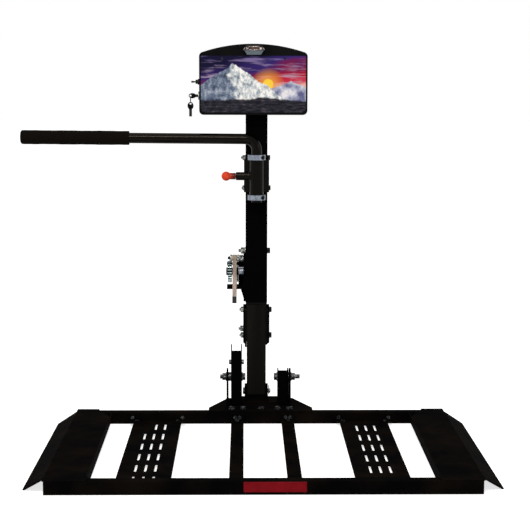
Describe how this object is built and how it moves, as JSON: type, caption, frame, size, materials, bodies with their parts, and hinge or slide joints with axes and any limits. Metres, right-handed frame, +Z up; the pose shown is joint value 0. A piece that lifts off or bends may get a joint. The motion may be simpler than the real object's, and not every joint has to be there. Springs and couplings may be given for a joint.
{
  "type": "power wheelchair lift",
  "caption": "Hitch-mounted power wheelchair lift: folding tray with side ramps, telescoping screw mast with motor head, swinging hold-down arm and strap ratchet.",
  "frame": {"origin": "middle of the rear rail's underside, on the floor under the folded-down platform", "axes": "+X along the platform's length, to the right as seen from the loading side; +Y towards the vehicle and the hitch bar's end; +Z up along the mast"},
  "size_m": [1.2751, 1.116, 1.092],
  "materials": {
    "black_powder_coat": "satin powder coat",
    "charcoal_tube": "satin powder coat, worn by sliding",
    "gloss_black_tube": "gloss",
    "zinc_plate": "bright zinc plate",
    "foam_grip": "closed-cell foam, matte",
    "red_knob": "gloss",
    "red_reflector": "prismatic",
    "black_plastic": "moulded, fine texture",
    "display_film": "printed film, gloss",
    "lamp_chrome": "chrome plate",
    "lamp_glass": "clear",
    "bronze": "machined",
    "screw_steel": "rolled thread, greased",
    "motor_paint": "satin",
    "circuit_board": "solder mask",
    "webbing": "woven polyester",
    "key_nickel": "nickel plate"
  },
  "bodies": {
    "carriage": {"mast_inner_tube": "charcoal_tube", "drive_nut": "bronze", "mast_foot": "black_powder_coat", "foot_pin": "zinc_plate", "foot_pin_clip": "zinc_plate", "left_upright": "black_powder_coat", "right_upright": "black_powder_coat", "upright_bolts": "zinc_plate"},
    "platform": {"rear_rail": "black_powder_coat", "front_rail": "black_powder_coat", "rail_end_caps": "black_plastic", "crossbars": "black_powder_coat", "left_tread_plate": "black_powder_coat", "right_tread_plate": "black_powder_coat", "corner_clips": "black_powder_coat", "platform_bolts": "zinc_plate", "left_ramp": "black_powder_coat", "right_ramp": "black_powder_coat", "reflector": "red_reflector", "hinge_base_plate": "black_powder_coat", "left_hinge_lug": "black_powder_coat", "right_hinge_lug": "black_powder_coat"},
    "mast": {"mast_outer_tube": "black_powder_coat", "mast_glide_collar": "black_plastic", "guide_bracket": "black_powder_coat", "guide_pads": "black_plastic", "mast_bolts": "zinc_plate", "hitch_bar": "black_powder_coat", "head_front_cover": "black_plastic", "head_rear_cover": "black_plastic", "display_panel": "display_film", "lamp_housing": "lamp_chrome", "lamp_lens": "lamp_glass", "gear_motor": "motor_paint", "thrust_bearing": "screw_steel", "control_board": "circuit_board", "cable_gland": "black_plastic", "toggle_switch": "zinc_plate", "key_switch": "zinc_plate", "arm_bracket": "black_powder_coat", "ratchet_frame": "black_powder_coat", "ratchet_axle": "zinc_plate", "strap_webbing": "webbing"},
    "screw": {"lead_screw": "screw_steel"},
    "arm": {"arm_tube": "gloss_black_tube", "arm_grip": "foam_grip", "arm_collars": "zinc_plate", "collar_screws": "screw_steel"},
    "plunger": {"plunger_pin": "zinc_plate", "plunger_knob": "red_knob"},
    "toggle": {"toggle_lever": "lamp_chrome"},
    "key": {"lock_plug": "key_nickel", "ignition_key": "key_nickel"},
    "spare_keys": {"key_ring": "key_nickel", "spare_key": "key_nickel"},
    "ratchet": {"ratchet_wheel": "zinc_plate", "strap_spool": "zinc_plate", "webbing_roll": "webbing"},
    "pawl": {"ratchet_pawl": "zinc_plate"},
    "roller": {"strap_roller": "zinc_plate"}
  },
  "joints": [
    {"name": "lift_slide", "type": "slide", "parent": "carriage", "child": "mast", "axis": [0, 0, 1], "range_m": [-0.11, 0.3]},
    {"name": "screw_spin", "type": "hinge", "parent": "mast", "child": "screw", "pos_m": [-0.012, 0.109, 0.6], "axis": [0, 0, 1], "range_deg": [-3130, 8520]},
    {"name": "platform_fold", "type": "hinge", "parent": "carriage", "child": "platform", "pos_m": [0, 0.064, 0.123], "axis": [-1, 0, 0], "range_deg": [0, 90]},
    {"name": "arm_swing", "type": "hinge", "parent": "mast", "child": "arm", "pos_m": [-0.012, 0.051, 0.715], "axis": [0, 0, 1], "range_deg": [0, 180]},
    {"name": "plunger_pull", "type": "slide", "parent": "mast", "child": "plunger", "axis": [-1, 0, 0], "range_m": [0, 0.01], "stiffness_N_per_m": 800, "springref_m": -0.008},
    {"name": "toggle_rock", "type": "hinge", "parent": "mast", "child": "toggle", "pos_m": [-0.1825, 0.052, 0.9845], "axis": [0, 1, 0], "range_deg": [-12, 12], "stiffness_Nm_per_rad": 0.05},
    {"name": "key_turn", "type": "hinge", "parent": "mast", "child": "key", "pos_m": [-0.18, 0.052, 0.945], "axis": [1, 0, 0], "range_deg": [0, 90]},
    {"name": "spare_key_swing", "type": "hinge", "parent": "key", "child": "spare_keys", "pos_m": [-0.2015, 0.052, 0.9433], "axis": [0, 1, 0], "range_deg": [-10, 75]},
    {"name": "ratchet_spin", "type": "hinge", "parent": "mast", "child": "ratchet", "pos_m": [-0.08, 0.109, 0.43], "axis": [1, 0, 0], "continuous": true},
    {"name": "pawl_swing", "type": "hinge", "parent": "mast", "child": "pawl", "pos_m": [-0.09, 0.147, 0.448], "axis": [-1, 0, 0], "range_deg": [0, 10]},
    {"name": "roller_spin", "type": "hinge", "parent": "mast", "child": "roller", "pos_m": [-0.076, 0.092, 0.472], "axis": [1, 0, 0], "continuous": true}
  ],
  "couplings": [
    {"joint": "screw_spin", "follows": "lift_slide", "rad_per_m": 494.74}
  ]
}
